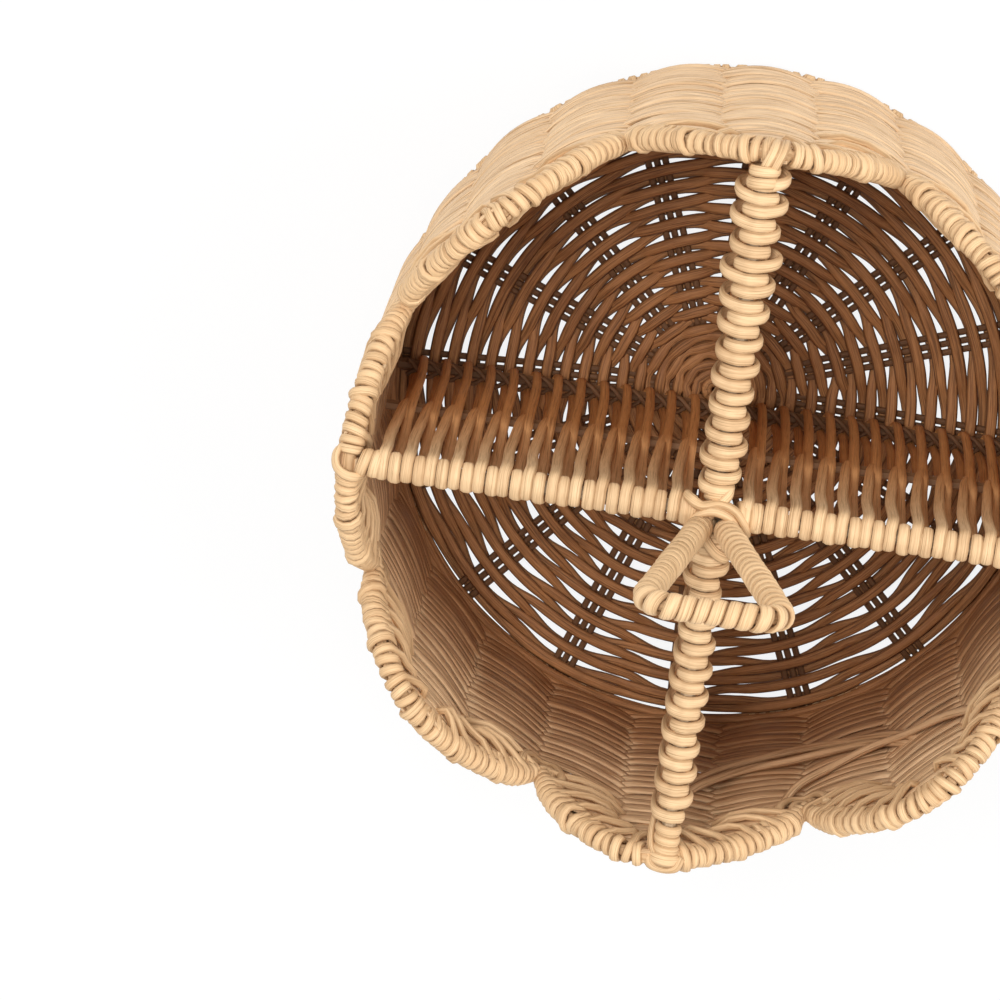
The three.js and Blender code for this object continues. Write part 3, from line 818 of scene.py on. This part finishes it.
def make_base():
    """The rings, two strands that fill the corner at the wall, and the strips of the spokes."""
    rng = random.Random(41)
    rows = Strands()
    pitch = (BASE_LAST - BASE_FIRST) / (BASE_ROWS - 1)
    for row in range(BASE_ROWS + 1):
        nominal = BASE_FIRST + row * pitch
        most = BASE_DRAWN * min(1.0, nominal / BASE_DRAWN_FULLY) if row < BASE_ROWS - 1 else 0.0
        base_row(rows, rng, 1 if row % 2 else -1, nominal, most)
    circle = np.arange(160) / 160 * TURN
    for radius, height in BASE_EDGE_RINGS:
        wobble = Wander(rng)
        place = polar(circle, radius + 0.3 * wobble(circle), height)
        rows.add(place, polar(circle, -0.5, 1.0), 2.3, 1.9, True, EIGHT)
    rows.piece("base_rows", BASE, "base_strand", ["base_weave"])
    strips = Strands()
    for spoke in range(SPOKES):
        angle = spoke / SPOKES * TURN
        start = -4.0 if spoke % 4 == 0 else 3.0
        for offset in (-STRIP_PITCH, 0.0, STRIP_PITCH):
            wobble = Wander(rng, (1, 3))
            along = np.linspace(start, STRIP_END, STRIP_POINTS)
            side = offset * np.clip(np.abs(along) / 30, 0.35, 1) + 0.1 * wobble(along / 30)
            x = along * math.cos(angle) - side * math.sin(angle)
            y = along * math.sin(angle) + side * math.cos(angle)
            shift_x, shift_y = base_shift(np.clip(along, 0, BASE_LAST))
            level = np.full(STRIP_POINTS, BASE_MIDDLE)
            centre = np.stack([x + shift_x, y + shift_y, level], axis=1)
            up = np.tile([0.0, 0.0, 1.0], (STRIP_POINTS, 1))
            strips.add(centre, up, STRIP_WIDTH, STRIP_THICK)
    strips.piece("base_strips", SPLINT, "splint", ["base_spokes"])


def divider_cell(rng, start, cell, wide, belly, place, slim=0.0):
    """One strand of a divider, from the bar down one face, under the middle rod and round the
    foot rod, then up over the middle rod on the same face and behind the panel to the bar.
    It goes down at a, round the foot rod at c and up at b. Each control is a place, the way
    the face looks sideways and up, and a share of the width."""
    a = start + rng.uniform(-0.25, 0.25)
    b = start + cell / 2 + rng.uniform(-0.25, 0.25)
    c = (a + b) / 2 + 0.5
    top, ring = BAR_HEIGHT, BAR_RADIUS - slim - STRAND_THICK / 2
    bow = belly * rng.uniform(0.75, 1.25)
    swept = 0.42 * min(bow, 4.0)
    cross = MID_HEIGHT + rng.uniform(15, 20)
    front = MID_ROD + STRAND_THICK / 2
    foot = FOOT_ROD + 0.75
    low = 0.7 * ring
    drift = rng.uniform(1.5, 2.3)
    controls = [
        (a, -ring, top - 2.2, -1, -0.3, 0.9),
        (a, -ring - 0.3 * bow, top + 0.4, -1, 0.2, 1.0),
        (a, -low, top + low, -0.7, 0.7, 1.0),
        (a, 0, top + ring, 0, 1, 1.0),
        (a, low, top + low, 0.7, 0.7, 1.0),
        (a + 0.5 * swept, ring + 0.65 * bow, top + 0.6, 1, 0.3, 1.0),
        (a + swept, ring + 0.95 * bow, top - 3.0, 1, 0, 1.0),
        (a + 0.9 * swept, 2.6 + 0.9 * bow, top - 10, 1, 0, 0.98),
        (a + 0.1 * drift, 2.4 + 0.3 * bow, top - 24, 1, 0, 0.96),
        (a + 0.45 * drift, 2.3, top - 42, 1, 0, 0.92),
        (a + 0.8 * drift, front + 0.2, MID_HEIGHT + 9, 1, 0, 0.84),
        (a + 1.1 * drift, front - 0.2, MID_HEIGHT + 1, 1, 0, 0.6),
        (a + drift, 0, MID_HEIGHT - 5.5, 1, 0, 0.6),
        (a + drift, -2.0, MID_HEIGHT - 13, 1, 0, 0.8),
        (a + drift, -1.9, 25, 1, 0, 0.85),
        (c - 1.0, -foot, FOOT_HEIGHT, 1, 0, 0.75),
        (c, 0, FOOT_HEIGHT - foot, 0, 1, 0.7),
        (c + 1.0, foot, FOOT_HEIGHT, -1, 0, 0.75),
        (b + 0.4, 2.0, 25, -1, 0, 0.85),
        (b + 0.2, 2.2, MID_HEIGHT - 13, -1, 0, 0.9),
        (b, front, MID_HEIGHT, -1, 0, 0.95),
        (b, 2.3, cross - 6, -1, 0, 0.98),
        (b, 0.2, cross, -1, 0, 0.9),
        (b, -2.0, cross + 9, -1, 0, 1.0),
        (b, -2.3 - 0.3 * bow, top - 24, -1, 0, 1.0),
        (b, -2.6 - 0.4 * bow, top - 12, -1, 0, 0.98),
        (b + 1.3 * swept, -0.8 * ring - 0.6 * bow, top - 5.5, -1, 0, 1.0),
        (b + swept, -ring - 0.95 * bow, top - 2.4, -1, 0.1, 1.0),
        (b + 0.5 * swept, -ring - 0.65 * bow, top + 0.6, -1, 0.3, 1.0),
        (b, -low, top + low, -0.7, 0.7, 1.0),
        (b, 0, top + ring, 0, 1, 1.0),
        (b, low, top + low, 0.7, 0.7, 1.0),
        (b, ring + 0.2 * bow, top, 1, 0, 1.0),
        (b, low, top - low, 0.7, -0.7, 0.95),
        (b, 0, top - ring, 0, -1, 0.85),
    ]
    rows = []
    for x, y, z, face_y, face_z, share in controls:
        rows.append([*place(x, y, z), *place(0, face_y, face_z), wide * share, STRAND_THICK])
    return spline(rows, 3)


def along_x(x, y, z):
    return (x, y, z)


def along_y(x, y, z):
    return (-y, x, z)


def make_dividers():
    """The strands of the x panel, and those of the two y panels, of which the back one bulges."""
    rng = random.Random(77)
    across = Strands()
    for way in (1, -1):
        start = X_START
        while start + CELL_X / 2 < BAR_END:
            first = start if way > 0 else -start - CELL_X / 2
            cell = divider_cell(rng, first, CELL_X, X_WIDE, X_BELLY, along_x)
            across.add_rows(cell, section=EIGHT)
            start += CELL_X
    across.piece("divider_x_strands", DIVIDER, "divider_strand", ["divider_x_weave"])
    for way, node in ((1, "divider_y_weave_back"), (-1, "divider_y_weave_front")):
        strands = Strands()
        start = Y_BACK_START if way > 0 else Y_FRONT_START
        slim = 0.0 if way > 0 else Y_FRONT_SLIM
        while start + CELL_Y / 2 < BAR_END + 1:
            first = start if way > 0 else -start - CELL_Y / 2
            bulge = Y_BULGE * math.exp(-(((start - Y_BULGE_AT) / Y_BULGE_RUN) ** 2))
            belly = Y_BACK_BELLY + bulge if way > 0 else Y_FRONT_BELLY
            cell = divider_cell(rng, first, CELL_Y, Y_WIDE, belly, along_y, slim)
            strands.add_rows(cell, section=EIGHT)
            start += CELL_Y
        strands.piece(node.replace("weave", "strands"), DIVIDER, "divider_strand", [node])


def make_foot_twists():
    """Two strands that twist round the panels' strands just above the foot rods."""
    strands = Strands()
    stretches = (
        (along_x, -BAR_END, BAR_END, CELL_X),
        (along_y, TWIST_FIRST, BAR_END, CELL_Y),
        (along_y, -TWIST_FIRST, -BAR_END, CELL_Y),
    )
    for place, first, end, cell in stretches:
        along = np.linspace(first, end, round(abs(end - first) / TWIST_STEP))
        for phase in (0.0, math.pi):
            turn = math.pi * along / cell + phase
            rows = []
            for x, angle in zip(along, turn):
                y, z = math.cos(angle), math.sin(angle)
                point = place(x, TWIST_OUT * y, TWIST_HEIGHT + TWIST_TALL * z)
                rows.append([*point, *place(0, y, 0.6 * z), TWIST_WIDE, TWIST_THICK])
            strands.add_rows(np.array(rows))
    strands.piece("divider_foot_twists", SPLINT, "splint", [])


def ring_wrap(at, place, ring, width, lean, slant=0.0):
    """A closed turn of strand round a bar, which leans lengthways and may lie aslant."""
    angle = np.arange(14) / 14 * TURN
    rows = []
    for turn in angle:
        y, z = ring * math.cos(turn), ring * math.sin(turn)
        point = place(at + lean * math.sin(turn) + slant * math.cos(turn), y, BAR_HEIGHT + z)
        rows.append([*point, *place(0, math.cos(turn), math.sin(turn)), width, STRAND_THICK])
    return np.array(rows)


def bar_end(index):
    """Places by distance from the axis, sideways and height, at one of the four bar ends."""
    angle = index / 4 * TURN
    cosine, sine = math.cos(angle), math.sin(angle)

    def place(along, sideways, height):
        return (along * cosine - sideways * sine, along * sine + sideways * cosine, height)

    return place


def through(place, controls, width):
    """A strand by distance, sideways, height, and which way its face looks in those terms."""
    rows = []
    for along, sideways, height, face in controls:
        rows.append([*place(along, sideways, height), *place(*face), width, STRAND_THICK])
    return spline(rows, 4)


def back_hooks(place, top):
    """Two strands that rise from the bar and turn over the rim."""
    for offset in (-0.9, -3.4):
        yield through(place, [
            (94.0, offset + 1.4, top - 0.5, (0, 0, 1)),
            (96.6, offset + 1.0, top + 2.6, (-0.4, 0, 1)),
            (98.6, offset + 0.3, top + 3.7, (0, 0, 1)),
            (100.6, offset - 0.5, top + 3.5, (0.3, 0, 1)),
            (102.3, offset - 1.1, top + 1.4, (0.9, 0, 0.4)),
            (102.6, offset - 1.3, top - 3.0, (1, 0, 0)),
        ], 2.5)


def side_hook(place, top):
    """A strand round the outside of the rim, which comes in over it beside the bar."""
    yield through(place, [
        (101.0, -4.2, top - 2.6, (1, -0.3, 0)),
        (103.0, -3.0, top + 0.4, (1, -0.2, 0.5)),
        (103.6, -0.6, top + 1.2, (1, 0, 0.8)),
        (102.7, 1.9, top + 2.4, (0.7, 0.3, 1)),
        (100.2, 3.4, top + 3.2, (0, 0.3, 1)),
        (97.4, 3.9, top + 2.2, (-0.6, 0.4, 1)),
        (95.9, 4.1, top - 1.6, (-1, 0.5, 0)),
    ], 2.9)


def front_hooks(place, top):
    """A strand over the end of the bar, one round the outside, and one beside the bar."""
    yield through(place, [
        (99.0, -3.6, top - 2.0, (0, -1, 0)),
        (99.2, -3.2, top + 1.8, (0, -1, 0.8)),
        (99.4, 0.0, top + 3.6, (0, 0, 1)),
        (99.6, 3.2, top + 1.8, (0, 1, 0.8)),
        (99.8, 3.6, top - 2.0, (0, 1, 0)),
    ], 3.2)
    yield through(place, [
        (98.6, -4.8, top + 0.4, (0.3, -0.6, 1)),
        (101.4, -3.6, top + 2.0, (0.7, -0.3, 1)),
        (102.6, 0.0, top + 1.6, (0.9, 0, 0.8)),
        (101.6, 3.4, top + 2.2, (0.7, 0.3, 1)),
        (98.8, 4.8, top + 0.8, (0.2, 0.6, 1)),
    ], 2.9)
    yield through(place, [
        (86.0, -3.2, top - 5.0, (0, -1, 0)),
        (89.5, -4.2, top - 3.0, (0, -1, 0.3)),
        (93.0, -4.5, top - 1.2, (0, -1, 0.4)),
        (96.5, -4.1, top + 0.4, (0.3, -1, 0.6)),
        (99.6, -2.4, top + 1.8, (0.8, -0.6, 0.8)),
    ], 2.7)


def make_rim_bindings():
    """Where each bar's end is tied over the rim: hooks, a filling and turns round the bar."""
    top = BAR_HEIGHT
    hooks = (side_hook, back_hooks, side_hook, front_hooks)
    turns = (
        ((95.7, 3.2, 0.9), (92.4, 3.2, 0.5)),
        ((94.9, 3.5, -0.2), (91.6, 3.5, -0.3)),
        ((95.7, 3.2, 0.9), (92.4, 3.2, 0.5)),
        ((96.8, 2.9, 0.3), (93.9, 2.9, 0.3), (91.0, 2.9, 0.2)),
    )
    for index, name in enumerate(("right", "back", "left", "front")):
        place = bar_end(index)
        strands = Strands()
        for hook in hooks[index](place, top):
            strands.add_rows(hook, section=EIGHT)
        points, run = rim_line(2 * index)
        near = points[np.abs(run - run[-1] / 2) < 5.6][::8]
        strands.add(near, unit(near * (1, 1, 0)), 4.0, 4.2, False, EIGHT)
        for at, ring, slant in turns[index]:
            strands.add_rows(ring_wrap(at, place, ring, 3.1, 0.3, slant), True, EIGHT)
        strands.piece(f"rim_binding_strands_{name}", PALE, "pale_strand", [f"rim_binding_{name}"])


def make_crossing_binding():
    """Four strands tied over the crossing of the bars, and turns round each bar beside it."""
    top = BAR_HEIGHT
    strands = Strands()
    inner_arch = [
        (-7.2, -5.2, top - 2.4, (-0.9, 0.3, 0.3)),
        (-6.3, -2.9, top + 2.2, (-0.7, 0.5, 0.6)),
        (-3.6, 0.3, top + 4.9, (-0.4, 0.8, 0.7)),
        (0.0, 1.5, top + 5.6, (0, 0.9, 0.7)),
        (4.2, 0.1, top + 4.9, (0.4, 0.8, 0.7)),
        (7.2, -3.0, top + 2.4, (0.8, 0.4, 0.6)),
        (8.0, -5.4, top - 2.4, (0.9, 0.2, 0.3)),
    ]
    outer_arch = [
        (-8.6, 3.9, top - 0.6, (-0.6, 0.6, 0.6)),
        (-6.9, 3.6, top + 3.4, (-0.4, 0.6, 0.8)),
        (-3.8, 2.3, top + 4.4, (0, 0.8, 0.7)),
        (1.0, 3.3, top + 4.0, (0, 0.9, 0.6)),
        (5.6, 1.8, top + 3.9, (0.4, 0.8, 0.6)),
        (8.8, -2.2, top + 3.2, (0.8, 0.3, 0.6)),
        (9.8, -5.4, top - 1.8, (0.9, 0, 0.2)),
    ]
    low_strand = [
        (-3.4, -3.6, top + 1.0, (-0.4, -0.2, 0.9)),
        (-1.3, -7.2, top + 3.9, (-0.2, -0.2, 1)),
        (1.6, -10.4, top + 4.2, (0.2, -0.2, 1)),
        (4.4, -12.0, top + 2.4, (0.7, -0.1, 0.7)),
        (5.2, -12.8, top - 3.0, (1, 0, 0)),
    ]
    under_strand = [
        (3.6, 7.6, top - 0.6, (0.8, 0, 0.4)),
        (2.8, 5.4, top + 2.4, (0.4, 0, 0.9)),
        (-1.0, 0.5, top + 3.4, (0, 0, 1)),
        (-3.6, -3.6, top + 3.0, (-0.3, 0, 1)),
        (-4.4, -8.4, top + 0.6, (-0.8, 0, 0.5)),
    ]
    for route in (inner_arch, outer_arch, low_strand, under_strand):
        strands.add_rows(through(along_x, route, 2.9), section=EIGHT)
    for at in (-6.6, 7.4, 10.7):
        strands.add_rows(ring_wrap(at, along_x, 3.2, 3.0, 0.4), True, EIGHT)
    for at in (-7.4, -10.8, 4.6):
        strands.add_rows(ring_wrap(at, along_y, 2.9, 3.1, 0.5), True, EIGHT)
    strands.piece("crossing_strands", PALE, "pale_strand", ["crossing_binding"])


def handle_path():
    """Centre line of the handle, from the left foot over the bar to the right foot."""
    lean = math.atan2(HANDLE_HALF - HANDLE_FOOT_HALF, HANDLE_TOP - HANDLE_FOOT)
    reach = HANDLE_CORNER / math.tan((math.pi / 2 - lean) / 2)
    middle = np.array([HANDLE_HALF - reach, HANDLE_Y, HANDLE_TOP - HANDLE_CORNER])
    right = []
    for share in np.linspace(0, 1, 12):
        angle = math.pi / 2 - (math.pi / 2 + lean) * share
        turned = np.array([math.cos(angle), 0, math.sin(angle)])
        right.append(middle + HANDLE_CORNER * turned)
    right.append(np.array([HANDLE_FOOT_HALF, HANDLE_Y, HANDLE_FOOT]))
    left = [point * (-1, 1, 1) for point in reversed(right)]
    points = np.array(left + right)
    points[:, 0] += HANDLE_LEAN * (points[:, 2] - HANDLE_FOOT) / (HANDLE_TOP - HANDLE_FOOT)
    return points


def make_handle():
    """One strand wound round the handle's wire, over a lining that closes its gaps."""
    rng = random.Random(3)
    points = handle_path()
    run = run_along(points)
    turns = int((run[-1] - 4) / HANDLE_PITCH)
    share = np.arange(turns * HANDLE_STEPS + 1) / HANDLE_STEPS
    wobble = [Wander(rng, (0.7, 1.6, 3.1)) for _ in range(3)]
    distance = 2 + share * HANDLE_PITCH + HANDLE_WAVERS * wobble[0](share)
    line = between(points, run, distance)
    along = unit(between(points, run, distance + 1.2) - between(points, run, distance - 1.2))
    front = np.tile([0.0, 1.0, 0.0], (len(share), 1))
    inward = np.cross(along, front)
    angle = share * TURN
    face = inward * np.cos(angle)[:, None] + front * np.sin(angle)[:, None]
    coil = HANDLE_COIL + HANDLE_WAVERS * wobble[1](share)
    width = HANDLE_STRAND + HANDLE_STRAND_VARIES * wobble[2](share)
    tilted = face + HANDLE_TILT * along
    strands = Strands()
    strands.add(line + face * coil[:, None], tilted, width, HANDLE_THICK, False, EIGHT)
    lining = between(points, run, np.linspace(3, run[-1] - 3, 120))
    strands.add(lining, np.array([0.0, 1.0, 0.0]), HANDLE_LINING, HANDLE_LINING, False, EIGHT)
    strands.piece("handle_strand", PALE, "pale_strand", ["handle_wrap"])
    core = Strands()
    bent = between(points, run, np.linspace(0, run[-1], 140))
    foot = np.array([0.0, 0.0, -HANDLE_WIRE_DROP])
    bent = np.vstack([bent[:1] + foot, bent, bent[-1:] + foot])
    core.add(bent, np.array([0.0, 1.0, 0.0]), HANDLE_WIRE, HANDLE_WIRE, False, EIGHT)
    core.piece("handle_wire_bent", WIRE, "wire", ["handle_wire"])


def finish_rods():
    """The stakes and rods that still show are bare cane."""
    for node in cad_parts.values():
        if not node.hide_render:
            node.data.materials.clear()
            node.data.materials.append(CANE)


make_wall()
make_rim()
make_border()
make_base()
make_dividers()
make_foot_twists()
make_rim_bindings()
make_crossing_binding()
make_handle()
finish_rods()


def seen_directly(tree, strength):
    """How much a ray sees of a white background: camera rays and those off gloss and glass."""
    seen = add_node(tree, "LightPath", output="Is Camera Ray")
    for kind in ("Is Glossy Ray", "Is Transmission Ray"):
        seen = seen + add_node(tree, "LightPath", output=kind)
    return seen.math("MINIMUM", 1.0) * strength


def make_floor():
    bpy.ops.mesh.primitive_plane_add(size=FLOOR_SIZE, location=(0, 0, 0))
    floor = bpy.context.object
    floor.name = "floor"
    material = bpy.data.materials.new("floor")
    material.use_nodes = True
    tree = material.node_tree
    tree.nodes.clear()
    paint = add_node(tree, "BsdfDiffuse", {"Color": FLOOR_COLOUR})
    glow = add_node(tree, "Emission")
    mix = add_node(tree, "MixShader", {0: seen_directly(tree, FLOOR_WHITE), 1: paint, 2: glow})
    out = tree.nodes.new("ShaderNodeOutputMaterial")
    connect(tree, mix, out.inputs[0])
    floor.data.materials.append(material)


def make_world():
    world = bpy.data.worlds.new("world")
    bpy.context.scene.world = world
    world.use_nodes = True
    tree = world.node_tree
    tree.nodes.clear()
    light = add_node(tree, "Background", {"Color": WHITE, "Strength": WORLD_LIGHT})
    white = add_node(tree, "Background", {"Color": WHITE})
    mix = add_node(tree, "MixShader", {0: seen_directly(tree, 1.0), 1: light, 2: white})
    out = tree.nodes.new("ShaderNodeOutputWorld")
    connect(tree, mix, out.inputs[0])


def add_lamp(name, place, size, power):
    lamp = bpy.data.lights.new(name, "AREA")
    lamp.size = size
    lamp.energy = power
    holder = bpy.data.objects.new(name, lamp)
    bpy.context.scene.collection.objects.link(holder)
    holder.location = place
    direction = Vector(LAMPS_AIM) - Vector(place)
    holder.rotation_euler = direction.to_track_quat("-Z", "Y").to_euler()


def make_camera():
    sin_tilt, cos_tilt = math.sin(CAMERA_TILT), math.cos(CAMERA_TILT)
    sin_turn, cos_turn = math.sin(CAMERA_TURN), math.cos(CAMERA_TURN)
    sin_roll, cos_roll = math.sin(CAMERA_ROLL), math.cos(CAMERA_ROLL)
    back = Vector((sin_tilt * sin_turn, sin_tilt * cos_turn, cos_tilt))
    level = Vector((cos_tilt * sin_turn, cos_tilt * cos_turn, -sin_tilt))
    side = level.cross(back)
    right = side * cos_roll + level * sin_roll
    up = level * cos_roll - side * sin_roll
    data = bpy.data.cameras.new("camera")
    data.lens = CAMERA_LENS
    data.sensor_width = CAMERA_SENSOR
    data.clip_end = 20
    camera = bpy.data.objects.new("camera", data)
    bpy.context.scene.collection.objects.link(camera)
    place = (Vector(CAMERA_TARGET) + back * CAMERA_AWAY) * MM
    turn = Matrix((right, up, back)).transposed().to_4x4()
    camera.matrix_world = Matrix.Translation(place) @ turn
    bpy.context.scene.camera = camera


make_floor()
make_world()
for lamp in LAMPS:
    add_lamp(*lamp)
make_camera()

view = bpy.context.scene.view_settings
view.view_transform = "Standard"
